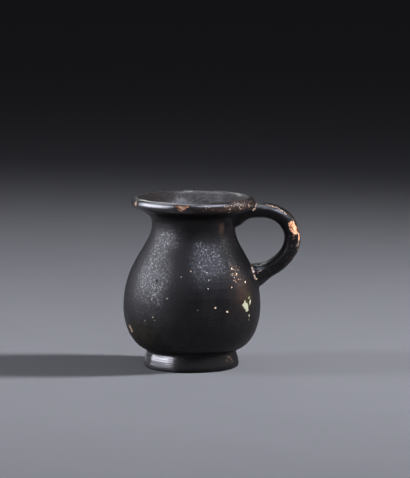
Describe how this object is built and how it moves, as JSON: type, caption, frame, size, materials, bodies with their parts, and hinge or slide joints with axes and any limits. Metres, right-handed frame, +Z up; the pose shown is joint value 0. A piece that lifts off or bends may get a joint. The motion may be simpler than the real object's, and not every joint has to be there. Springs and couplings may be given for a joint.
{
  "type": "miniature olpe",
  "caption": "Small black-glazed clay jug with a thick flared lip, a pear-shaped body, a low disc foot and a loop handle.",
  "frame": {"origin": "middle of the foot's flat underside", "axes": "+Z up along the jug's middle line, +X toward the handle"},
  "size_m": [0.0774, 0.0602, 0.075],
  "materials": {
    "black_glazed_clay": "worn satin black glaze over orange clay"
  },
  "bodies": {
    "root": {"olpe": "black_glazed_clay"}
  },
  "joints": []
}
